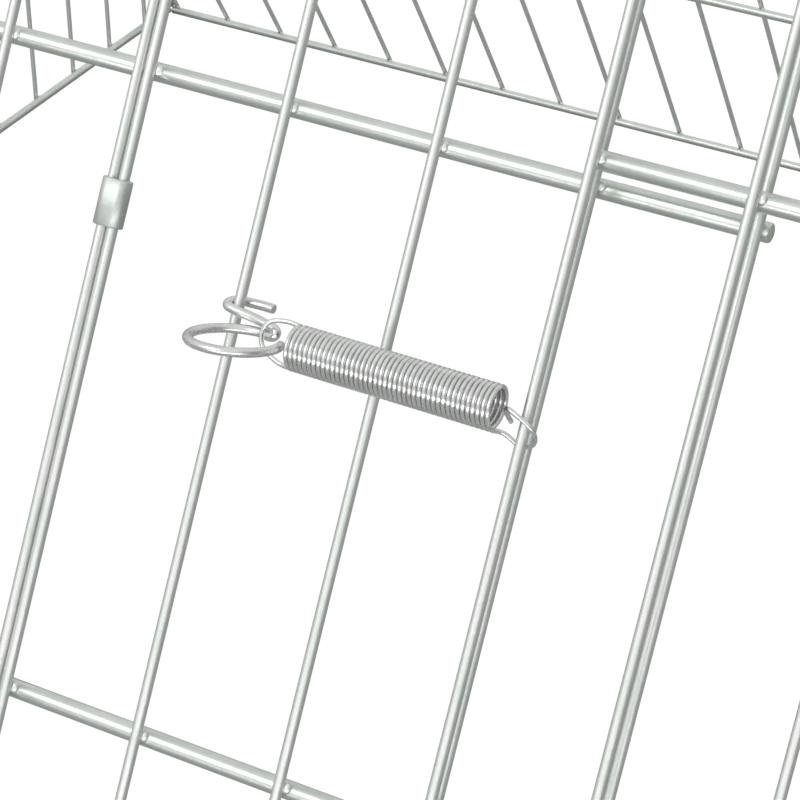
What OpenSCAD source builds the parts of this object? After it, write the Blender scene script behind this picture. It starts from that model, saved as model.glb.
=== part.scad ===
// Triangular (tent shaped) wire run for rabbits: two sloping sides, each of two
// welded mesh panels, and two triangular ends. One side has a door that is held
// shut by a spring latch. It has no floor, and folds on its clips.

/* [Mesh] */
// Distance from one thin wire to the next
pitch = 34; // [30:1:40]
// Thin wires' diameter
wire_d = 2.3; // [2:0.1:2.5]
// Distance from one thick bar to the next, up the slope
row_h = 132; // [120:1:140]
// Thick bars' diameter
bar_d = 4; // [3.6:0.1:4.2]

/* [Panels] */
// Mesh columns in one panel
columns = 16; // [16:1:18]
// Mesh rows from the ground to the ridge
rows = 8; // [8:1:9]

/* [Door] */
// First panel column that the door covers
door_from = 3; // [3:1:3]
// Columns that the door covers
door_columns = 10; // [9:1:11]
// Lowest bar row of the doorway
door_low = 2; // [1:1:3]
// Highest bar row of the doorway
door_high = 6; // [5:1:7]

/* [Latch] */
// Height of the spring below the row that it hangs under
latch_drop = 45; // [40:1:60]
// Outer diameter of the spring's coil
coil_d = 10.2; // [9.6:0.1:10.4]
// Spring wire diameter
coil_wire = 1.2; // [1:0.1:1.3]
// Outer diameter of the finger ring
ring_d = 20.6; // [19:0.2:21]
// Wire diameter of the ring and hook
hook_wire = 2; // [1.8:0.1:2]

/* [Clips] */
// Length of a sheet metal clip along the wires
clip_len = 10; // [8:1:14]
// Thickness of the clips' sheet
clip_t = 0.8; // [0.6:0.1:1]

/* [Hidden] */
$fn = 48;

slope = 60;                                 // each side's angle with the ground
weld = 0.25;                                // how far a wire sinks into a bar
gap = 0.15;                                 // bars of neighbouring panels end this far from the joint
run_fit = 0.08;                             // radial play of a rod that turns in a clip
bar_r = bar_d / 2;
wire_r = wire_d / 2;
panel_w = columns * pitch;
side_h = rows * row_h;
edge_in = 1.35;                             // an edge wire's distance from its panel's edge
over = 1.5;                                 // how far wires and door bars stand past the last crossing
top_over = 1;                               // the same at the ridge
top_bars = bar_d + 0.3;                     // between the two top bars at the ridge
foot_y = side_h * cos(slope) + top_bars / 2;
door_gap = 0.35;                            // between the door's bars and the panel's wires
// heights above the middle of a panel's bars, towards the outside
wire_n = bar_r + wire_r - weld;
door_bar_n = wire_n + wire_r + door_gap + bar_r;
door_wire_n = door_bar_n + bar_r + wire_r - weld;
door_lift = 5.4;                            // the door's bars lie this far above the panel's
open_from = door_from + 1;                  // columns where the doorway starts and ends
open_to = door_from + door_columns - 1;
cut_over = 2.5;                             // how far wires cut for the doorway stand past the last bar
cut_bar_over = 2;                           // and bars past the last wire
door_over = 3.5;                            // how far the door's wires stand past its bars

latch_row = 4;
latch_s = latch_row * row_h - latch_drop;
coil_r = (coil_d - coil_wire) / 2;
coil_n = wire_n + wire_r + 0.25 + coil_d / 2;
hook_col = 1;                               // the wire that the hook holds
hook_x = hook_col * pitch;
loop_wire_x = door_from * pitch + edge_in;  // the door wire that the spring holds
loop_x = loop_wire_x + wire_r + 0.25 + coil_wire / 2 - coil_r;
coil_end = loop_x - 3.3;                    // the end loop's straight part is 3.3 long
coil_len = 47.6;
coil_start = coil_end - coil_len;
turn_weld = 0.05;                           // how far one turn sinks into the next
turns = floor(coil_len / (coil_wire - turn_weld));
turn_h = (coil_len - coil_wire) / (turns - 1);
hook_r = hook_wire / 2;
ring_r = ring_d / 2 - hook_r;
ring_tilt = 12;
ring_arc = 295;                             // how far round the ring's wire goes
ring_x = coil_start - ring_r - 1.5;
bend_r = wire_r + hook_r + 0.15;
hook_s = latch_s + 3.5;
seam = 0.02;                                // between the hook's straight lengths and its bends
hook_tail = 7.5;                            // the hook's straight end behind the wire
tight_r = 1.2;                              // the bend between the hook's shank and the ring
tight_x = ring_x + 5.4;
ring_s = hook_s - 2 * tight_r - ring_r * sin(ring_tilt);
ring_n = wire_n + bend_r + ring_r * cos(ring_tilt);

end_gap = 0.3;
rail_x = panel_w + end_gap + bar_r;         // the end panels' rails
rail_n = wire_n;
rail_foot = foot_y + rail_n * sin(slope);   // where a rail's middle meets its own foot height
rail_z = bar_r + rail_n * cos(slope);
clip_rows = [1, latch_row, rows - 1];
clip_below = 28;                            // clips sit this far below their row
end_clip_below = 40;                        // the same on the end panels, clear of their wires' tops
grip = 0.02;                                // play of a band that holds its rail
ridge_columns = [2.5, 8.5, 13.5];           // columns of the ridge clips
foot_short = 3.3;                           // the bottom rail ends this far from the rails' foot
bar_short = 3.6;                            // and the end panels' bars this far from the rails
end_wire_z = 0.8;                           // foot of the end panels' wires
peak_short = 4;                             // the middle wire's distance from the peak

function wire_x(i, n) = i == 0 ? edge_in : i == n ? n * pitch - edge_in : i * pitch;
function rail_y(z) = rail_foot - (z - rail_z) / tan(slope);

// moves a part drawn flat (x, up the slope, outwards) onto the front or the back side
module front() translate([0, -foot_y, bar_r]) rotate([slope, 0, 0]) children();
module back() mirror([0, 1, 0]) front() children();

module rod_x(x0, x1, s, n, r) translate([x0, s, n]) rotate([0, 90, 0]) cylinder(h = x1 - x0, r = r);
module rod_s(x, s0, s1, n, r) translate([x, s0, n]) rotate([-90, 0, 0]) cylinder(h = s1 - s0, r = r);

// a plain mesh panel from x = 0 to panel_w
module panel_bars() for (k = [0 : rows]) rod_x(gap, panel_w, k * row_h, 0, bar_r);
module panel_wires() for (i = [0 : columns]) rod_s(wire_x(i, columns), -over, side_h + top_over, wire_n, wire_r);

// the panel with the doorway
module doorway_bars() for (k = [0 : rows])
    if (k > door_low && k < door_high) {
        rod_x(gap, open_from * pitch + cut_bar_over, k * row_h, 0, bar_r);
        rod_x(open_to * pitch - cut_bar_over, panel_w, k * row_h, 0, bar_r);
    } else rod_x(gap, panel_w, k * row_h, 0, bar_r);
module doorway_wires() for (i = [0 : columns])
    if (i > open_from && i < open_to) {
        rod_s(wire_x(i, columns), -over, door_low * row_h + cut_over, wire_n, wire_r);
        rod_s(wire_x(i, columns), door_high * row_h - cut_over, side_h + top_over, wire_n, wire_r);
    } else rod_s(wire_x(i, columns), -over, side_h + top_over, wire_n, wire_r);

// the door's left edge is at door_from * pitch
module door_bar_set() translate([door_from * pitch, 0, 0])
    for (k = [door_low : door_high])
        rod_x(edge_in - over, door_columns * pitch - edge_in + over, k * row_h + door_lift, door_bar_n, bar_r);
module door_wire_set() translate([door_from * pitch, 0, 0])
    for (i = [0 : door_columns])
        rod_s(wire_x(i, door_columns), door_low * row_h + door_lift - door_over,
              door_high * row_h + door_lift + door_over, door_wire_n, wire_r);

// a sheet metal sleeve round two parallel rods, both along s; a to b is from one rod's middle to the other's
module sleeve(ra, rb, reach, s) translate([0, s + clip_len / 2, 0]) rotate([90, 0, 0])
    linear_extrude(clip_len) difference() {
        slot_outline(ra + run_fit + clip_t, rb + run_fit + clip_t, reach);
        slot_outline(ra + run_fit, rb + run_fit, reach);
    }
module slot_outline(ra, rb, reach) {
    circle(ra);
    translate([reach, 0]) circle(rb);
    polygon([[0, -ra], [reach, -rb], [reach, rb], [0, ra]]);
}
// the same sleeve with its far side cut away, so that the far rod can leave
module open_sleeve(r, reach, s) difference() {
    sleeve(r, r, reach, s);
    translate([reach + 0.2, s - clip_len, -bar_d]) cube([bar_d, 2 * clip_len, 2 * bar_d]);
}
// a band round an end panel's rail with a tongue over the side panel's edge wire, pressed flat beside that wire
module tongue(s) translate([0, s + clip_len / 2, 0]) rotate([90, 0, 0]) linear_extrude(clip_len)
    difference() {
        union() {
            circle(bar_r + grip + clip_t);
            translate([0, bar_r + grip]) square([bar_r + end_gap + edge_in + 2 * wire_r + 1, clip_t]);
        }
        circle(bar_r + grip);
        translate([rail_x - panel_w + edge_in - wire_r - 0.15, -bar_d]) square([bar_d, bar_d + bar_r]);
    }

module ridge_set(x_sign) for (x = ridge_columns)
    translate([x_sign * x * pitch, -top_bars / 2, bar_r + side_h * sin(slope)])
    translate([-clip_len / 2, 0, 0]) rotate([90, 0, 90]) linear_extrude(clip_len) difference() {
        slot_outline(bar_r + run_fit + clip_t, bar_r + run_fit + clip_t, top_bars);
        slot_outline(bar_r + run_fit, bar_r + run_fit, top_bars);
    }

// one triangular end, drawn for the right and mirrored for the left
module end_frame() {
    front() rod_s(rail_x, 0, side_h - bar_r, rail_n, bar_r);
    back() rod_s(rail_x, 0, side_h - bar_r, rail_n, bar_r);
    translate([rail_x, -rail_foot + foot_short, bar_r]) rotate([-90, 0, 0])
        cylinder(h = 2 * (rail_foot - foot_short), r = bar_r);
}
module end_bars() for (k = [1 : rows - 1]) let (z = bar_r + k * row_h * sin(slope), half = rail_y(z) - bar_short)
    translate([rail_x, -half, z]) rotate([-90, 0, 0]) cylinder(h = 2 * half, r = bar_r);
module end_wires() for (j = [-ceil(foot_y / pitch) + 1 : ceil(foot_y / pitch) - 1])
    translate([rail_x + wire_n, j * pitch, end_wire_z])
        cylinder(h = rail_z - end_wire_z + (rail_foot - abs(j * pitch)) * tan(slope) - (j == 0 ? peak_short : 0),
                 r = wire_r);
module end_clips() front() for (k = clip_rows)
    translate([rail_x, 0, rail_n]) mirror([1, 0, 0]) sleeve(bar_r, wire_r, end_gap + bar_r + edge_in, k * row_h - end_clip_below);
module end_tongues() back() for (k = [1, rows - 1])
    translate([rail_x, 0, rail_n]) mirror([1, 0, 0]) tongue(k * row_h - end_clip_below);
module left() mirror([1, 0, 0]) children();

module front_left_bars() color("lightgray") left() front() panel_bars();
module front_left_wires() color("silver") left() front() panel_wires();
module front_right_bars() color("lightgray") front() doorway_bars();
module front_right_wires() color("silver") front() doorway_wires();
module back_left_bars() color("lightgray") left() back() panel_bars();
module back_left_wires() color("silver") left() back() panel_wires();
module back_right_bars() color("lightgray") back() panel_bars();
module back_right_wires() color("silver") back() panel_wires();
module end_left_frame() color("lightgray") left() end_frame();
module end_left_bars() color("lightgray") left() end_bars();
module end_left_wires() color("silver") left() end_wires();
module end_right_frame() color("lightgray") end_frame();
module end_right_bars() color("lightgray") end_bars();
module end_right_wires() color("silver") end_wires();
module door_bars() color("lightgray") front() door_bar_set();
module door_wires() color("silver") front() door_wire_set();
module door_hinge_clips() color("gray") front() for (k = [door_low, latch_row, door_high - 1])
    translate([(door_from + door_columns) * pitch, 0, wire_n]) rotate([0, -90 - atan(edge_in / (door_wire_n - wire_n)), 0])
        sleeve(wire_r, wire_r, norm([edge_in, door_wire_n - wire_n]), k * row_h + row_h / 2);
module front_fold_clips() color("gray") front() for (k = clip_rows)
    translate([-edge_in, 0, wire_n]) sleeve(wire_r, wire_r, 2 * edge_in, k * row_h - clip_below);
module back_fold_clips() color("gray") back() for (k = clip_rows)
    translate([-edge_in, 0, wire_n]) open_sleeve(wire_r, 2 * edge_in, k * row_h - clip_below);
module ridge_clips_left() color("gray") ridge_set(-1);
module ridge_clips_right() color("gray") ridge_set(1);
module end_left_clips() color("gray") left() end_clips();
module end_right_clips() color("gray") end_clips();
module end_left_tongues() color("gray") left() end_tongues();
module end_right_tongues() color("gray") end_tongues();

// close-wound tension spring along x, with a half loop at each end
module latch_spring() color("dimgray") front() translate([0, latch_s, coil_n]) {
    translate([coil_start + coil_wire / 2, 0, 0]) rotate([0, 90, 0]) rotate_extrude()
        for (i = [0 : turns - 1]) translate([coil_r, i * turn_h]) circle(coil_wire / 2);
    translate([loop_x, 0, 0]) rotate([90, 0, 0]) rotate([0, 0, -90])
        rotate_extrude(angle = 180) translate([coil_r, 0]) circle(coil_wire / 2);
    for (side = [-1, 1]) translate([coil_end - coil_wire, 0, side * coil_r]) rotate([0, 90, 0])
        cylinder(h = loop_x - coil_end + coil_wire + 0.05, r = coil_wire / 2);
    translate([coil_start + coil_wire / 2, 0, 0]) rotate([0, 0, 90])
        rotate_extrude(angle = 180) translate([coil_r, 0]) circle(coil_wire / 2);
}

// finger ring and hook, bent from one wire: its straight lengths and bends are solids of their own, a seam apart
module latch_hook() color("silver") front() {
    rod_x(hook_x + seam, hook_x + hook_tail, hook_s, wire_n - bend_r, hook_r);
    translate([hook_x, hook_s, wire_n]) rotate([90, 0, 0]) rotate([0, 0, 90])
        rotate_extrude(angle = 180) translate([bend_r, 0]) circle(hook_r);
    rod_x(hook_x + seam, tight_x - seam, hook_s, wire_n + bend_r, hook_r);
    translate([tight_x, hook_s - tight_r, wire_n + bend_r]) rotate([0, 0, -90])
        rotate_extrude(angle = 180) translate([tight_r, 0]) circle(hook_r);
    rod_x(ring_x + seam, tight_x - seam, hook_s - 2 * tight_r, wire_n + bend_r, hook_r);
    translate([ring_x, ring_s, ring_n]) rotate([-90 + ring_tilt, 0, 0]) rotate([0, 0, 90])
        rotate_extrude(angle = ring_arc) translate([ring_r, 0]) circle(hook_r);
}

front_left_bars();
front_left_wires();
front_right_bars();
front_right_wires();
back_left_bars();
back_left_wires();
back_right_bars();
back_right_wires();
end_left_frame();
end_left_bars();
end_left_wires();
end_right_frame();
end_right_bars();
end_right_wires();
door_bars();
door_wires();
door_hinge_clips();
latch_spring();
latch_hook();
front_fold_clips();
back_fold_clips();
ridge_clips_left();
ridge_clips_right();
end_left_clips();
end_right_clips();
end_left_tongues();
end_right_tongues();
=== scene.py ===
# Triangular wire run for rabbits: two sloping mesh sides, two mesh ends, a mesh door and its spring latch.
# Sizes are in millimetres. A side's flat coordinates are x along the run, s up the slope and n outwards.
import math

import bpy
from mathutils import Matrix, Vector, noise


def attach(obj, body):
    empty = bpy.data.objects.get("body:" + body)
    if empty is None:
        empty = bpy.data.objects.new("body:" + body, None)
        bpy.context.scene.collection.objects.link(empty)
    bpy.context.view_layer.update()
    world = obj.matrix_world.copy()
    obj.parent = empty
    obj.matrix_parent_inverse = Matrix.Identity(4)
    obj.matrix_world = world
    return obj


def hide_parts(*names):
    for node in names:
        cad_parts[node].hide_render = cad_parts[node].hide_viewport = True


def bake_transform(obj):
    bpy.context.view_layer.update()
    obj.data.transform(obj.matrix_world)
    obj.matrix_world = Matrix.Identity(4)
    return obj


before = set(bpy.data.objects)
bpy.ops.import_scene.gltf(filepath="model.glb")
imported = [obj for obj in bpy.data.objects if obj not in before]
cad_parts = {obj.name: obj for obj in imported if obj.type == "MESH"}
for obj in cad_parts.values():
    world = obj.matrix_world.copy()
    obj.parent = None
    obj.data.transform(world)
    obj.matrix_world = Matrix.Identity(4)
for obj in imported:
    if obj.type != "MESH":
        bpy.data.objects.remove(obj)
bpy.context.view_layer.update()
print("frame loaded:", len(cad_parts), "nodes")

run = {
    "pitch": 34.0,
    "rowHeight": 132.0,
    "columns": 16,
    "rows": 8,
    "wireRadius": 1.15,
    "barRadius": 2.0,
    "edgeInset": 1.35,  # an edge wire's distance from its panel's edge
    "wireHeight": 2.9,  # wires lie this far outside the bars' middle
    "topBars": 4.3,  # between the two top bars
    "slope": 60.0,
    "wireSides": 16,
    "barSides": 24,
    "waver": 0.05,  # how far rods stray from straight
    "waverScale": 0.017,  # larger makes them stray back and forth more often
    "seed": 5,  # of all small irregularities
}
noise.seed_set(run["seed"])
slopeAngle = math.radians(run["slope"])
sideHeight = run["rows"] * run["rowHeight"]
footY = sideHeight * math.cos(slopeAngle) + run["topBars"] / 2
fullTurn = 2 * math.pi


def frontPoint(x, s, n):
    y = -footY + s * math.cos(slopeAngle) - n * math.sin(slopeAngle)
    z = run["barRadius"] + s * math.sin(slopeAngle) + n * math.cos(slopeAngle)
    return Vector((x, y, z))


def backPoint(x, s, n):
    point = frontPoint(x, s, n)
    return Vector((point.x, -point.y, point.z))


def sidePlace(half, side):
    # a function from flat coordinates to the run's, for the left or right half and the front or back side
    flat = frontPoint if side == "front" else backPoint
    sign = -1 if half == "left" else 1
    return lambda x, s, n: flat(sign * x, s, n)


def directions(place, at):
    # unit vectors along x, s and n
    x, s, n = at
    origin = place(x, s, n)
    return place(x + 1, s, n) - origin, place(x, s + 1, n) - origin, place(x, s, n + 1) - origin


# a shape is a list of points in millimetres and a list of faces
def newShape():
    return {"points": [], "faces": []}


def addRings(shape, rings, closed=False):
    count = len(rings[0])
    first = len(shape["points"])
    for ring in rings:
        shape["points"].extend(ring)
    total = len(rings)
    for i in range(total if closed else total - 1):
        a = first + i * count
        b = first + (i + 1) % total * count
        for k in range(count):
            j = (k + 1) % count
            shape["faces"].append((a + k, a + j, b + j, b + k))
    if not closed:
        last = first + (total - 1) * count
        shape["faces"].append(tuple(reversed(range(first, first + count))))
        shape["faces"].append(tuple(range(last, last + count)))


def circle(centre, side, up, radius, sides):
    ring = []
    for k in range(sides):
        angle = fullTurn * k / sides
        ring.append(centre + (side * math.cos(angle) + up * math.sin(angle)) * radius)
    return ring


def cutEnd(radius):
    # distance from the end and radius of the rings that round off a cut
    edge = radius * 0.24
    return [(0, radius - edge), (edge * 0.3, radius - edge * 0.3), (edge, radius)]


def addRod(shape, start, end, radius, sides, stations):
    # a straight rod with rounded ends, which wavers a little at its stations
    length = (end - start).length
    axis = (end - start) / length
    side = axis.orthogonal().normalized()
    up = axis.cross(side)
    marks = cutEnd(radius)
    edge = marks[-1][0]
    marks += [(edge + (length - 2 * edge) * k / (stations + 1), radius) for k in range(1, stations + 1)]
    marks += [(length - far, size) for far, size in reversed(cutEnd(radius))]
    rings = []
    for far, size in marks:
        centre = start + axis * far
        centre = centre + noise.noise_vector(centre * run["waverScale"]) * run["waver"]
        rings.append(circle(centre, side, up, size, sides))
    addRings(shape, rings)


def addTube(shape, path, radius, sides):
    # a bent rod along a path, with rounded ends
    first = (path[1] - path[0]).normalized()
    last = (path[-1] - path[-2]).normalized()
    marks = [(path[0] + first * far, size) for far, size in cutEnd(radius)[:2]]
    marks += [(point, radius) for point in path[1:-1]]
    marks += [(path[-1] - last * far, size) for far, size in reversed(cutEnd(radius)[:2])]
    side = first.orthogonal().normalized()
    rings = []
    for i, (point, size) in enumerate(marks):
        tangent = (marks[min(i + 1, len(marks) - 1)][0] - marks[max(i - 1, 0)][0]).normalized()
        side = (side - tangent * side.dot(tangent)).normalized()
        rings.append(circle(point, side, tangent.cross(side), size, sides))
    addRings(shape, rings)


def smoothPath(points, steps):
    # a smooth curve through the points
    path = []
    last = len(points) - 1
    for i in range(last):
        a, b, c, d = (Vector(points[min(max(i + k, 0), last)]) for k in (-1, 0, 1, 2))
        for k in range(steps):
            t = k / steps
            bend = (2 * a - 5 * b + 4 * c - d) * t * t
            path.append(0.5 * (2 * b + (c - a) * t + bend + (3 * b - a - 3 * c + d) * t ** 3))
    path.append(Vector(points[-1]))
    return path


def addNugget(shape, centre, along, across, out, size):
    # a small flattened bead of metal, squeezed out where a wire is welded
    length, width, height = size
    lumpScale, lumpiness = 0.9, 0.22
    rings = []
    for level in (-80, -50, -15, 20, 50, 80):
        r = math.cos(math.radians(level))
        lift = out * height * math.sin(math.radians(level))
        ring = []
        for k in range(12):
            angle = fullTurn * k / 12
            aside = across * (width * r * math.cos(angle))
            point = centre + along * (length * r * math.sin(angle)) + aside + lift
            ring.append(point + noise.noise_vector(point * lumpScale) * height * lumpiness)
        rings.append(ring)
    addRings(shape, rings)


def loopRound(a, b, out, radiusA, radiusB, steps=12):
    # the outline of a sleeve round two rods
    reach = (b - a).normalized()
    points = []
    for centre, radius, start in ((a, radiusA, 90), (b, radiusB, -90)):
        for k in range(steps + 1):
            angle = math.radians(start + 180 * k / steps)
            points.append(centre + (reach * math.cos(angle) + out * math.sin(angle)) * radius)
    return points


def addSleeve(shape, a, b, axis, radiusA, radiusB, sheet, length):
    # a sheet metal sleeve round rods a and b, with rounded edges
    out = axis.cross((b - a).normalized())
    edge = sheet * 0.28  # the bevel's width
    rings = []
    for inset, far in ((0, edge), (0, length - edge), (edge, length), (sheet - edge, length),
                       (sheet, length - edge), (sheet, edge), (sheet - edge, 0), (edge, 0)):
        shift = axis * (far - length / 2)
        rings.append([p + shift for p in loopRound(a, b, out, radiusA - inset, radiusB - inset)])
    addRings(shape, rings, closed=True)


def addPrism(shape, outline, axis, length, edge):
    # a closed outline drawn along axis, with a small bevel round both ends
    middle = sum(outline, Vector()) / len(outline)
    rings = []
    for far, grow in ((0, -edge), (edge, 0), (length - edge, 0), (length, -edge)):
        shift = axis * (far - length / 2)
        rings.append([p + (middle - p).normalized() * -grow + shift for p in outline])
    addRings(shape, rings)


def makePiece(name, shape, body, slotName, *nodes):
    # makes an object of a shape and lets it ride on its body; a piece given no body rides on none
    mesh = bpy.data.meshes.new(name)
    mesh.from_pydata([p * 0.001 for p in shape["points"]], [], shape["faces"])
    mesh.validate()
    mesh.shade_smooth()
    mesh.set_sharp_from_angle(angle=math.radians(50))
    piece = bpy.data.objects.new(name, mesh)
    bpy.context.scene.collection.objects.link(piece)
    piece.data.materials.append(finishes[slotName])
    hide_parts(*nodes)
    if body:
        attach(piece, body)
    return piece


def addSocket(group, name, kind, value=None, out=False):
    socket = group.interface.new_socket(name=name, in_out="OUTPUT" if out else "INPUT", socket_type=kind)
    if value is not None:
        socket.default_value = value
    return socket


def makeZincSkin():
    # mottled zinc: cloudy tone, small dull specks and a fine uneven surface
    group = bpy.data.node_groups.new("zincSkin", "ShaderNodeTree")
    addSocket(group, "Light Tone", "NodeSocketColor", (0.8, 0.8, 0.8, 1))
    addSocket(group, "Dull Tone", "NodeSocketColor", (0.6, 0.6, 0.6, 1))
    addSocket(group, "Cloud Scale", "NodeSocketFloat", 70.0)
    addSocket(group, "Grain Scale", "NodeSocketFloat", 900.0)
    addSocket(group, "Specks", "NodeSocketFloat", 0.3)
    addSocket(group, "Smoothest", "NodeSocketFloat", 0.25)
    addSocket(group, "Roughest", "NodeSocketFloat", 0.42)
    addSocket(group, "Unevenness", "NodeSocketFloat", 0.2)
    addSocket(group, "Colour", "NodeSocketColor", out=True)
    addSocket(group, "Roughness", "NodeSocketFloat", out=True)
    addSocket(group, "Normal", "NodeSocketVector", out=True)
    nodes, links = group.nodes, group.links
    given = nodes.new("NodeGroupInput")
    result = nodes.new("NodeGroupOutput")
    place = nodes.new("ShaderNodeTexCoord")
    cloud = nodes.new("ShaderNodeTexNoise")
    cloud.inputs["Detail"].default_value = 5
    cloud.inputs["Roughness"].default_value = 0.6
    grain = nodes.new("ShaderNodeTexNoise")
    grain.inputs["Detail"].default_value = 3
    speck = nodes.new("ShaderNodeTexVoronoi")
    links.new(place.outputs["Object"], cloud.inputs["Vector"])
    links.new(place.outputs["Object"], grain.inputs["Vector"])
    links.new(place.outputs["Object"], speck.inputs["Vector"])
    links.new(given.outputs["Cloud Scale"], cloud.inputs["Scale"])
    links.new(given.outputs["Grain Scale"], grain.inputs["Scale"])
    links.new(given.outputs["Grain Scale"], speck.inputs["Scale"])
    cloudMask = nodes.new("ShaderNodeMapRange")
    cloudMask.inputs["From Min"].default_value = 0.38
    cloudMask.inputs["From Max"].default_value = 0.62
    links.new(cloud.outputs["Fac"], cloudMask.inputs["Value"])
    speckMask = nodes.new("ShaderNodeMapRange")
    speckMask.inputs["From Min"].default_value = 0.12
    speckMask.inputs["From Max"].default_value = 0.3
    speckMask.inputs["To Min"].default_value = 1.0
    speckMask.inputs["To Max"].default_value = 0.0
    links.new(speck.outputs["Distance"], speckMask.inputs["Value"])
    speckAmount = nodes.new("ShaderNodeMath")
    speckAmount.operation = "MULTIPLY"
    links.new(speckMask.outputs["Result"], speckAmount.inputs[0])
    links.new(given.outputs["Specks"], speckAmount.inputs[1])
    dullness = nodes.new("ShaderNodeMath")
    dullness.operation = "MAXIMUM"
    dullness.use_clamp = True
    links.new(cloudMask.outputs["Result"], dullness.inputs[0])
    links.new(speckAmount.outputs[0], dullness.inputs[1])
    tone = nodes.new("ShaderNodeMix")
    tone.data_type = "RGBA"
    links.new(dullness.outputs[0], tone.inputs["Factor"])
    toneA, toneB = [socket for socket in tone.inputs if socket.type == "RGBA"]
    links.new(given.outputs["Light Tone"], toneA)
    links.new(given.outputs["Dull Tone"], toneB)
    rough = nodes.new("ShaderNodeMapRange")
    links.new(dullness.outputs[0], rough.inputs["Value"])
    links.new(given.outputs["Smoothest"], rough.inputs["To Min"])
    links.new(given.outputs["Roughest"], rough.inputs["To Max"])
    bump = nodes.new("ShaderNodeBump")
    bump.inputs["Distance"].default_value = 0.0002
    links.new(grain.outputs["Fac"], bump.inputs["Height"])
    links.new(given.outputs["Unevenness"], bump.inputs["Strength"])
    toneOut = [socket for socket in tone.outputs if socket.type == "RGBA"][0]
    links.new(toneOut, result.inputs["Colour"])
    links.new(rough.outputs["Result"], result.inputs["Roughness"])
    links.new(bump.outputs["Normal"], result.inputs["Normal"])
    return group


def makeMetal(name, skin, settings):
    # a bare metal finish; settings are the skin's inputs
    material = bpy.data.materials.new(name)
    material.use_nodes = True
    nodes, links = material.node_tree.nodes, material.node_tree.links
    shader = nodes["Principled BSDF"]
    shader.inputs["Metallic"].default_value = 1.0
    made = nodes.new("ShaderNodeGroup")
    made.node_tree = skin
    for key, value in settings.items():
        made.inputs[key].default_value = (*value, 1) if isinstance(value, tuple) else value
    links.new(made.outputs["Colour"], shader.inputs["Base Color"])
    links.new(made.outputs["Roughness"], shader.inputs["Roughness"])
    links.new(made.outputs["Normal"], shader.inputs["Normal"])
    return material


zincSkin = makeZincSkin()
finishes = {
    "bar_zinc": makeMetal("barZinc", zincSkin, {
        "Light Tone": (0.74, 0.775, 0.745), "Dull Tone": (0.65, 0.69, 0.66), "Cloud Scale": 85.0,
        "Grain Scale": 800.0, "Specks": 0.35, "Smoothest": 0.28, "Roughest": 0.4, "Unevenness": 0.16}),
    "wire_zinc": makeMetal("wireZinc", zincSkin, {
        "Light Tone": (0.86, 0.86, 0.855), "Dull Tone": (0.74, 0.775, 0.745), "Cloud Scale": 60.0,
        "Grain Scale": 1100.0, "Specks": 0.3, "Smoothest": 0.36, "Roughest": 0.48, "Unevenness": 0.16}),
    "clip_sheet": makeMetal("clipSheet", zincSkin, {
        "Light Tone": (0.68, 0.71, 0.69), "Dull Tone": (0.56, 0.6, 0.57), "Cloud Scale": 180.0,
        "Grain Scale": 700.0, "Specks": 0.4, "Smoothest": 0.4, "Roughest": 0.52, "Unevenness": 0.2}),
    "spring_steel": makeMetal("springSteel", zincSkin, {
        "Light Tone": (0.86, 0.86, 0.86), "Dull Tone": (0.76, 0.76, 0.76), "Cloud Scale": 240.0,
        "Grain Scale": 1600.0, "Specks": 0.15, "Smoothest": 0.15, "Roughest": 0.24, "Unevenness": 0.08}),
    "hook_wire": makeMetal("hookWire", zincSkin, {
        "Light Tone": (0.82, 0.82, 0.82), "Dull Tone": (0.73, 0.73, 0.73), "Cloud Scale": 160.0,
        "Grain Scale": 1300.0, "Specks": 0.2, "Smoothest": 0.22, "Roughest": 0.34, "Unevenness": 0.12}),
}
print("finishes made:", len(finishes))

panel = {
    "barGap": 0.15,  # bars end this far from the fold
    "wireFoot": 1.5,  # wires stand this far past the lowest bar
    "wireTop": 1.0,  # and past the highest
    "cutBar": 2.0,  # bars cut at the doorway stand this far past the last wire
    "cutWire": 2.5,  # and wires past the last bar
    "openFrom": 4,  # the doorway's first and last wire
    "openTo": 12,
    "openLow": 2,  # the doorway's lowest and highest bar
    "openHigh": 6,
    "barStations": 12,  # places along a rod where it may waver
    "wireStations": 40,
    "nugget": (1.35, 1.15, 0.75),  # half the length, width and height of a weld's larger bead
    "nuggetShift": 1.3,  # from the wire's middle to the bead's
    "nuggetLift": 0.35,  # from the bar's middle line to the bead's
    "nuggetSink": 0.15,  # how deep beads lie in the bar
    "smallShare": 0.62,  # size of the smaller bead on the wire's other side
    "smallShift": 1.0,
    "smallDrop": 0.2,
    "smallSink": 0.1,
    "stray": 0.5,  # how unevenly the larger beads lie
    "strayScale": 0.37,
}


def wireX(column, columns):
    inset = run["edgeInset"]
    if column == 0:
        return inset
    return columns * run["pitch"] - inset if column == columns else column * run["pitch"]


def nuggetSize(share):
    return tuple(share * v for v in panel["nugget"])


def addWeld(shape, place, x, s, n):
    across, along, out = directions(place, (x, s, n))
    if across.x < 0:
        across = -across
    stray = panel["stray"] * noise.noise(Vector((x, s, n)) * panel["strayScale"])
    centre = place(x, s + panel["nuggetLift"] + stray, n) + across * (panel["nuggetShift"] + stray / 2)
    addNugget(shape, centre, along, across, out, panel["nugget"])
    small = place(x, s - panel["smallDrop"], n - panel["smallSink"]) - across * panel["smallShift"]
    addNugget(shape, small, along, across, out, nuggetSize(panel["smallShare"]))


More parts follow.
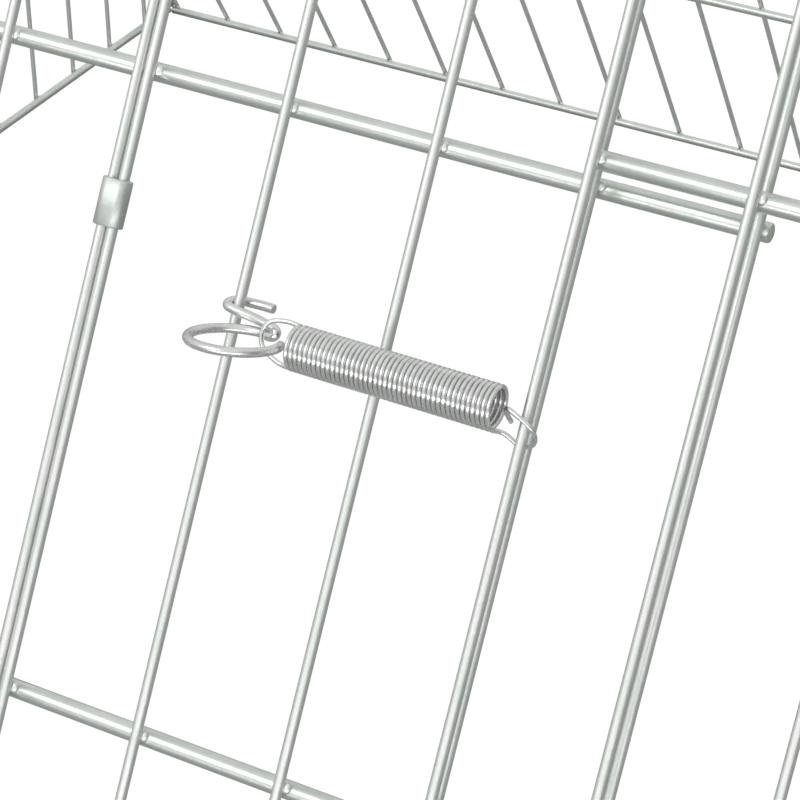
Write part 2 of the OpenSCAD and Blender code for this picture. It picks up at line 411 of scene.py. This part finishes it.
def makeSidePanel(half, side, doorway=False):
    place = sidePlace(half, side)
    bars, wires = newShape(), newShape()
    columns, rows, rowHeight, height = run["columns"], run["rows"], run["rowHeight"], run["wireHeight"]
    width = columns * run["pitch"]
    openLeft = panel["openFrom"] * run["pitch"] + panel["cutBar"]
    openRight = panel["openTo"] * run["pitch"] - panel["cutBar"]
    for row in range(rows + 1):
        cut = doorway and panel["openLow"] < row < panel["openHigh"]
        spans = [(panel["barGap"], openLeft), (openRight, width)] if cut else [(panel["barGap"], width)]
        for a, b in spans:
            addRod(bars, place(a, row * rowHeight, 0), place(b, row * rowHeight, 0), run["barRadius"],
                   run["barSides"], panel["barStations"])
    foot, top = -panel["wireFoot"], sideHeight + panel["wireTop"]
    openFoot = panel["openLow"] * rowHeight + panel["cutWire"]
    openTop = panel["openHigh"] * rowHeight - panel["cutWire"]
    for column in range(columns + 1):
        x = wireX(column, columns)
        cut = doorway and panel["openFrom"] < column < panel["openTo"]
        spans = [(foot, openFoot), (openTop, top)] if cut else [(foot, top)]
        for a, b in spans:
            addRod(wires, place(x, a, height), place(x, b, height), run["wireRadius"], run["wireSides"],
                   panel["wireStations"])
        for row in range(rows + 1):
            if not (cut and panel["openLow"] < row < panel["openHigh"]):
                addWeld(wires, place, x, row * rowHeight, run["barRadius"] - panel["nuggetSink"])
    name = side + "_" + half
    label = side.capitalize() + half.capitalize()
    makePiece(label + "Bars", bars, name, "bar_zinc", name + "_bars")
    makePiece(label + "Wires", wires, name, "wire_zinc", name + "_wires")


makeSidePanel("left", "front")
makeSidePanel("right", "front", doorway=True)
makeSidePanel("left", "back")
makeSidePanel("right", "back")
print("side panels made")

endPanel = {
    "gap": 0.3,  # between a rail and the side panels
    "footShort": 3.3,  # the bottom rail ends this far from the rails' foot
    "barShort": 3.6,  # and bars this far from the rails
    "wireFoot": 0.8,  # height of the wires' feet
    "peakShort": 4.0,  # the middle wire ends this far below the peak
    "railStations": 20,
    "barStations": 12,
    "wireStations": 24,
    "nuggetLift": 0.3,
    "topWeld": 1.6,  # wires are welded to a rail this far below their tops
    "topClear": 3.0,  # and to no bar above this
}
railX = run["columns"] * run["pitch"] + endPanel["gap"] + run["barRadius"]


def makeEndPanel(half):
    sign = -1 if half == "left" else 1
    rails, bars, wires = newShape(), newShape(), newShape()
    radius, sides, height = run["barRadius"], run["barSides"], run["wireHeight"]
    railFoot = footY + height * math.sin(slopeAngle)
    railZ = radius + height * math.cos(slopeAngle)
    tangent = math.tan(slopeAngle)
    for side in ("front", "back"):
        place = sidePlace(half, side)
        addRod(rails, place(railX, 0, height), place(railX, sideHeight - radius, height), radius, sides,
               endPanel["railStations"])
    levels = [(radius, railFoot - endPanel["footShort"])]
    for row in range(1, run["rows"]):
        z = radius + row * run["rowHeight"] * math.sin(slopeAngle)
        levels.append((z, railFoot - (z - railZ) / tangent - endPanel["barShort"]))
    for i, (z, reach) in enumerate(levels):
        x = sign * railX
        addRod(bars if i else rails, Vector((x, -reach, z)), Vector((x, reach, z)), radius, sides,
               endPanel["barStations"])
    wireFar = sign * (railX + height)
    nuggetX = sign * (railX + radius - panel["nuggetSink"])
    along, across, out = Vector((0, 0, 1)), Vector((0, 1, 0)), Vector((sign, 0, 0))
    count = math.ceil(footY / run["pitch"]) - 1
    for j in range(-count, count + 1):
        y = j * run["pitch"]
        top = railZ + (railFoot - abs(y)) * tangent - (0 if j else endPanel["peakShort"])
        addRod(wires, Vector((wireFar, y, endPanel["wireFoot"])), Vector((wireFar, y, top)),
               run["wireRadius"], run["wireSides"], endPanel["wireStations"])
        welds = [z for z, reach in levels if abs(y) < reach and z < top - endPanel["topClear"]]
        if j:
            welds.append(top - endPanel["topWeld"])
        for z in welds:
            for shift, share in ((panel["nuggetShift"], 1.0), (-panel["smallShift"], panel["smallShare"])):
                centre = Vector((nuggetX, y + shift, z + endPanel["nuggetLift"]))
                addNugget(wires, centre, along, across, out, nuggetSize(share))
    name = "end_" + half
    label = "End" + half.capitalize()
    makePiece(label + "Frame", rails, name, "bar_zinc", name + "_frame")
    makePiece(label + "Bars", bars, name, "bar_zinc", name + "_bars")
    makePiece(label + "Wires", wires, name, "wire_zinc", name + "_wires")


makeEndPanel("left")
makeEndPanel("right")
print("end panels made")

door = {
    "fromColumn": 3,
    "columns": 10,
    "lift": 5.4,  # the door's bars lie this far above the panel's
    "barHeight": 6.4,
    "wireHeight": 9.3,
    "barOver": 0.15,  # bars end this far past the door's edge
    "wireOver": 3.5,  # and wires this far past the last bar
    "barStations": 8,
    "wireStations": 20,
}


def makeDoor():
    place = sidePlace("right", "front")
    bars, wires = newShape(), newShape()
    left = door["fromColumn"] * run["pitch"]
    barFrom, barTo = left - door["barOver"], left + door["columns"] * run["pitch"] + door["barOver"]
    barHeight, wireHeight = door["barHeight"], door["wireHeight"]
    levels = [row * run["rowHeight"] + door["lift"] for row in range(panel["openLow"], panel["openHigh"] + 1)]
    for s in levels:
        addRod(bars, place(barFrom, s, barHeight), place(barTo, s, barHeight), run["barRadius"],
               run["barSides"], door["barStations"])
    foot, top = levels[0] - door["wireOver"], levels[-1] + door["wireOver"]
    for column in range(door["columns"] + 1):
        x = left + wireX(column, door["columns"])
        addRod(wires, place(x, foot, wireHeight), place(x, top, wireHeight), run["wireRadius"],
               run["wireSides"], door["wireStations"])
        for s in levels:
            addWeld(wires, place, x, s, barHeight + run["barRadius"] - panel["nuggetSink"])
    makePiece("DoorBars", bars, "door", "bar_zinc", "door_bars")
    makePiece("DoorWires", wires, "door", "wire_zinc", "door_wires")


makeDoor()
print("door made")

clip = {
    "length": 10.0,
    "sheet": 0.8,
    "play": 0.08,
    "rows": (1, 4, 7),
    "below": 28.0,  # clips sit this far below their row
    "endBelow": 40.0,  # the same on the end panels
    "ridgeColumns": (2.5, 8.5, 13.5),
    "hingeRows": (2, 4, 5),
    "openAt": 1.55,  # the back fold's clips are cut open here
}


def sleeveRadius(rod):
    return rod + clip["play"] + clip["sheet"]


def addClip(shape, a, b, axis, rodA, rodB):
    # a clip round two rods, from one rod's middle to the other's
    addSleeve(shape, a, b, axis, sleeveRadius(rodA), sleeveRadius(rodB), clip["sheet"], clip["length"])


def foldLevels():
    return [row * run["rowHeight"] - clip["below"] for row in clip["rows"]]


def makeFrontFoldClips():
    place = sidePlace("right", "front")
    inset, wire, height = run["edgeInset"], run["wireRadius"], run["wireHeight"]
    shape = newShape()
    for s in foldLevels():
        axis = directions(place, (0, s, 0))[1]
        addClip(shape, place(-inset, s, height), place(inset, s, height), axis, wire, wire)
    makePiece("FrontFoldClips", shape, "front_left", "clip_sheet", "front_fold_clips")


def makeBackFoldClips():
    place = sidePlace("right", "back")
    inset, wire = run["edgeInset"], run["wireRadius"]
    shape = newShape()
    for s in foldLevels():
        across, along, out = directions(place, (0, s, 0))
        centre = place(-inset, s, run["wireHeight"])
        lip = across * (clip["openAt"] + inset)
        outline = []
        for radius, order in ((sleeveRadius(wire), 1), (wire + clip["play"], -1)):
            ring = [centre + lip + out * radius]
            for k in range(15):
                angle = math.radians(90 + 180 * k / 14)
                ring.append(centre + (across * math.cos(angle) + out * math.sin(angle)) * radius)
            ring.append(centre + lip - out * radius)
            outline += ring[::order]
        addPrism(shape, outline, along, clip["length"], 0.0)
    makePiece("BackFoldClips", shape, "back_left", "clip_sheet", "back_fold_clips")


def makeRidgeClips(half):
    sign = -1 if half == "left" else 1
    bar = run["barRadius"]
    y, z = run["topBars"] / 2, bar + sideHeight * math.sin(slopeAngle)
    shape = newShape()
    for column in clip["ridgeColumns"]:
        x = sign * column * run["pitch"]
        addClip(shape, Vector((x, -y, z)), Vector((x, y, z)), Vector((1, 0, 0)), bar, bar)
    makePiece("RidgeClips" + half.capitalize(), shape, "front_" + half, "clip_sheet", "ridge_clips_" + half)


def makeEndClips(half):
    place = sidePlace(half, "front")
    edge, height = wireX(run["columns"], run["columns"]), run["wireHeight"]
    bar, wire = run["barRadius"], run["wireRadius"]
    shape = newShape()
    for row in clip["rows"]:
        s = row * run["rowHeight"] - clip["endBelow"]
        axis = directions(place, (0, s, 0))[1]
        addClip(shape, place(railX, s, height), place(edge, s, height), axis, bar, wire)
    makePiece("EndClips" + half.capitalize(), shape, "front_" + half, "clip_sheet", "end_" + half + "_clips")


tongue = {
    "rows": (1, 7),
    "grip": 0.02,  # play of the band that holds the rail
    "clear": 0.15,  # between the band's flat side and the edge wire
    "past": 1.0,  # the tongue reaches this far past the edge wire
    "narrower": 0.4,  # than the band
    "bevel": 0.1,
    "tip": 0.5,  # length of the rounded tip
}


def makeTongues(half):
    place = sidePlace(half, "back")
    wire, inner = run["wireRadius"], run["barRadius"] + tongue["grip"]
    outer = inner + clip["sheet"]
    edge = wireX(run["columns"], run["columns"])
    flatAt = railX - edge - wire - tongue["clear"]
    reach = railX - edge + 2 * wire + tongue["past"]
    tip, middle = tongue["tip"], (inner + outer) / 2
    profile = [(0, outer), (reach - tip, outer), (reach - tip * 0.2, outer - tip * 0.24), (reach, middle),
               (reach - tip * 0.2, inner + tip * 0.24), (reach - tip, inner), (0, inner)]
    shape = newShape()
    for row in tongue["rows"]:
        s = row * run["rowHeight"] - clip["endBelow"]
        across, along, out = directions(place, (0, s, 0))
        rail = place(railX, s, run["wireHeight"])
        first = len(shape["points"])
        nearly = rail - across * 0.01  # the band is a sleeve whose two rods are one
        addSleeve(shape, rail, nearly, along, outer, outer, clip["sheet"], clip["length"])
        for i in range(first, len(shape["points"])):  # pressed flat beside the edge wire
            p = shape["points"][i]
            shape["points"][i] = p + across * max(0, (rail - p).dot(across) - flatAt)
        outline = [rail - across * far + out * rise for far, rise in profile]
        addPrism(shape, outline, along, clip["length"] - tongue["narrower"], tongue["bevel"])
    body = "end_" + half
    makePiece("EndTongues" + half.capitalize(), shape, body, "clip_sheet", body + "_tongues")


def makeHingeClips():
    place = sidePlace("right", "front")
    wire = run["wireRadius"]
    panelWire = (door["fromColumn"] + door["columns"]) * run["pitch"]
    doorWire = panelWire - run["edgeInset"]
    shape = newShape()
    for row in clip["hingeRows"]:
        s = (row + 0.5) * run["rowHeight"]
        axis = directions(place, (panelWire, s, 0))[1]
        onPanel, onDoor = place(panelWire, s, run["wireHeight"]), place(doorWire, s, door["wireHeight"])
        addClip(shape, onPanel, onDoor, axis, wire, wire)
    makePiece("DoorHingeClips", shape, "front_right", "clip_sheet", "door_hinge_clips")


makeFrontFoldClips()
makeBackFoldClips()
for half in ("left", "right"):
    makeRidgeClips(half)
    makeEndClips(half)
    makeTongues(half)
makeHingeClips()
print("clips made")

# the loops' points are x, and s and n from the spring's middle line; the hook's are plain flat coordinates
latch = {
    "s": 483.0,  # the spring's middle line
    "n": 9.4,
    "coilStart": 51.9,
    "coilEnd": 97.2,
    "coilRadius": 4.3,
    "wireRadius": 0.49,
    "wireSides": 12,
    "turns": 42.5,
    "turnSteps": 36,
    "leftLoop": [
        (51.9, -3.9, 1.3), (51.2, -4.15, 0.4), (49.2, -3.95, 0), (47.2, -3.2, 0), (44.8, -1.7, 0),
        (43.9, 0.5, 0), (44.25, 2.4, 0), (45.4, 3.6, 0), (47.0, 4.15, 0), (49.2, 4.45, 0)],
    "rightLoop": [
        (98.1, -4.3, -0.9), (98.9, -4.45, -1.5), (100.1, -5.0, -2.0), (101.6, -5.7, -2.3),
        (103.4, -5.75, -2.35), (105.0, -5.1, -1.7), (106.0, -3.8, 0), (106.1, -2.5, 1.6),
        (105.4, -1.4, 2.6), (104.2, -0.6, 2.95), (102.9, -0.1, 3.1), (101.4, 0.5, 3.1),
        (100.3, 0.8, 2.7), (99.2, 0.5, 1.4), (98.6, -0.4, -0.8), (98.6, -1.3, -2.4), (99.1, -2.2, -3.3)],
    "hookRadius": 1.0,
    "hookSides": 24,
    "tail": [(40.8, 488.1, 0.55), (38.0, 488.1, 0.55), (35.4, 488.0, 0.6)],
    "bendRadius": 2.35,  # round the wire that the hook holds
    "bendShift": 0.1,  # of its middle from that wire's
    "bendLevel": 487.2,
    "bendLean": 0.8,
    "shank": [
        (36.2, 486.1, 5.35), (38.6, 485.95, 5.6), (41.4, 485.6, 6.15), (43.9, 485.3, 6.6),
        (45.3, 484.9, 6.9), (45.75, 484.2, 7.0), (45.3, 483.5, 6.9), (44.0, 483.25, 6.5)],
    "ringCentre": (40.9, 481.5, 14.35),
    "ringRadius": 9.25,
    "ringTilt": 11.5,
    "ringLean": 3.7,
}


def springPath():
    s, n, r = latch["s"], latch["n"], latch["coilRadius"]
    coil = []
    steps = round(latch["turns"] * latch["turnSteps"])
    for k in range(steps + 1):
        angle = fullTurn * k / latch["turnSteps"]
        x = latch["coilStart"] + (latch["coilEnd"] - latch["coilStart"]) * k / steps
        coil.append(Vector((x, s + r * math.cos(angle), n + r * math.sin(angle))))
    leftLoop = [(x, s + up, n + out) for x, up, out in latch["leftLoop"]]
    rightLoop = [(x, s + up, n + out) for x, up, out in latch["rightLoop"]]
    left = smoothPath(leftLoop + [coil[0]], 8)
    right = smoothPath([coil[-1]] + rightLoop, 8)
    return left[:-1] + coil + right[1:]


def hookPath():
    points = list(latch["tail"])
    bend = latch["bendRadius"]
    for angle in range(-75, -270, -30):
        a = math.radians(angle)
        points.append((run["pitch"] + latch["bendShift"] + bend * math.cos(a),
                       latch["bendLevel"] - latch["bendLean"] * math.sin(a),
                       run["wireHeight"] + bend * math.sin(a)))
    points += latch["shank"]
    centre = Vector(latch["ringCentre"])
    lean, tilt = math.radians(latch["ringLean"]), math.radians(latch["ringTilt"])
    across = Vector((math.cos(lean), math.sin(lean), 0))
    outwards = Vector((0, -math.sin(tilt), math.cos(tilt)))
    outwards = (outwards - across * outwards.dot(across)).normalized()
    for angle in range(-82, -388, -12):
        a = math.radians(angle)
        points.append(tuple(centre + (across * math.cos(a) + outwards * math.sin(a)) * latch["ringRadius"]))
    return smoothPath(points, 6)


def makeLatch():
    spring = newShape()
    addTube(spring, [frontPoint(*p) for p in springPath()], latch["wireRadius"], latch["wireSides"])
    piece = makePiece("LatchSpring", spring, None, "spring_steel", "latch_spring")
    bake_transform(piece)
    hook = newShape()
    addTube(hook, [frontPoint(*p) for p in hookPath()], latch["hookRadius"], latch["hookSides"])
    makePiece("LatchHook", hook, "hook", "hook_wire", "latch_hook")


makeLatch()
print("latch made")

# the studio and the camera are in metres
studio = {
    "floorSize": 14.0,
    "floorDrop": 0.0005,
    "floorBounce": 0.42,  # how light the floor is to everything but the camera
    "white": 1.02,  # what the camera sees of the floor and the sky
    "horizon": (0.66, 0.67, 0.66),
    "sky": 0.8,
    "rightShade": 0.34,  # the sky's strength on the far right
    "shadeFrom": 0.55,
    "shadeTo": 0.95,
    "lights": {
        "lowStrip": {"place": (0.6, -2.2, 0.2), "target": (0.1, -0.3, 0.42), "size": (3, 0.5), "power": 16},
        "key": {"place": (-0.9, -1.8, 1.9), "target": (0.1, -0.2, 0.45), "size": (1.2, 0.9), "power": 11},
    },
}


def makeFloor():
    half = studio["floorSize"] / 2
    mesh = bpy.data.meshes.new("floor")
    corners = [(-half, -half, 0), (half, -half, 0), (half, half, 0), (-half, half, 0)]
    mesh.from_pydata(corners, [], [(0, 1, 2, 3)])
    floor = bpy.data.objects.new("floor", mesh)
    bpy.context.scene.collection.objects.link(floor)
    floor.location.z = -studio["floorDrop"]
    material = bpy.data.materials.new("floorPaper")
    material.use_nodes = True
    nodes, links = material.node_tree.nodes, material.node_tree.links
    nodes.remove(nodes["Principled BSDF"])
    seen = nodes.new("ShaderNodeLightPath")
    white = nodes.new("ShaderNodeEmission")
    white.inputs["Strength"].default_value = studio["white"]
    grey = nodes.new("ShaderNodeBsdfDiffuse")
    bounce = studio["floorBounce"]
    grey.inputs["Color"].default_value = (bounce, bounce * 1.01, bounce, 1)
    mix = nodes.new("ShaderNodeMixShader")
    links.new(seen.outputs["Is Camera Ray"], mix.inputs["Fac"])
    links.new(grey.outputs[0], mix.inputs[1])
    links.new(white.outputs[0], mix.inputs[2])
    links.new(mix.outputs[0], nodes["Material Output"].inputs["Surface"])
    mesh.materials.append(material)


def makeWorld():
    world = bpy.data.worlds.new("studioWorld")
    world.use_nodes = True
    bpy.context.scene.world = world
    nodes, links = world.node_tree.nodes, world.node_tree.links
    place = nodes.new("ShaderNodeTexCoord")
    split = nodes.new("ShaderNodeSeparateXYZ")
    links.new(place.outputs["Generated"], split.inputs[0])
    rise = nodes.new("ShaderNodeValToRGB")
    rise.color_ramp.elements[0].position = 0.0
    rise.color_ramp.elements[0].color = (*studio["horizon"], 1)
    rise.color_ramp.elements[1].position = 0.5
    rise.color_ramp.elements[1].color = (studio["sky"], studio["sky"] * 1.02, studio["sky"], 1)
    sideways = nodes.new("ShaderNodeMapRange")
    sideways.inputs["From Min"].default_value = studio["shadeFrom"]
    sideways.inputs["From Max"].default_value = studio["shadeTo"]
    sideways.inputs["To Min"].default_value = 1.0
    sideways.inputs["To Max"].default_value = studio["rightShade"]
    links.new(split.outputs["X"], sideways.inputs["Value"])
    links.new(split.outputs["Z"], rise.inputs["Fac"])
    around = nodes.new("ShaderNodeBackground")
    links.new(rise.outputs["Color"], around.inputs["Color"])
    links.new(sideways.outputs["Result"], around.inputs["Strength"])
    seenWhite = nodes.new("ShaderNodeBackground")
    seenWhite.inputs["Color"].default_value = (1, 1, 1, 1)
    seenWhite.inputs["Strength"].default_value = studio["white"]
    seen = nodes.new("ShaderNodeLightPath")
    mix = nodes.new("ShaderNodeMixShader")
    links.new(seen.outputs["Is Camera Ray"], mix.inputs["Fac"])
    links.new(around.outputs[0], mix.inputs[1])
    links.new(seenWhite.outputs[0], mix.inputs[2])
    links.new(mix.outputs[0], nodes["World Output"].inputs["Surface"])


def addLight(name, place, target, size, power):
    light = bpy.data.lights.new(name, "AREA")
    light.shape = "RECTANGLE"
    light.size, light.size_y = size
    light.energy = power
    lamp = bpy.data.objects.new(name, light)
    bpy.context.scene.collection.objects.link(lamp)
    lamp.location = place
    lamp.rotation_euler = (Vector(target) - Vector(place)).to_track_quat("-Z", "Y").to_euler()


camera = {
    "place": (0.3232315, -0.725084, 0.746825),
    "turn": 30.0458,  # degrees to the left of straight ahead
    "down": 33.437,
    "roll": -0.7265,
    "lens": 137.388,
}


def makeCamera():
    turn, down, roll = (math.radians(camera[key]) for key in ("turn", "down", "roll"))
    ahead = Vector((-math.sin(turn) * math.cos(down), math.cos(turn) * math.cos(down), -math.sin(down)))
    right = Vector((math.cos(turn), math.sin(turn), 0))
    up = right.cross(ahead)
    right, up = right * math.cos(roll) + up * math.sin(roll), up * math.cos(roll) - right * math.sin(roll)
    data = bpy.data.cameras.new("camera")
    data.lens = camera["lens"]
    data.sensor_width = 36
    data.clip_start = 0.01
    data.clip_end = 50
    made = bpy.data.objects.new("camera", data)
    bpy.context.scene.collection.objects.link(made)
    turned = Matrix((right, up, -ahead)).transposed().to_4x4()
    made.matrix_world = Matrix.Translation(camera["place"]) @ turned
    bpy.context.scene.camera = made


makeFloor()
makeWorld()
for name, values in studio["lights"].items():
    addLight(name, **values)
makeCamera()
bpy.context.scene.view_settings.view_transform = "Standard"
print("studio made")
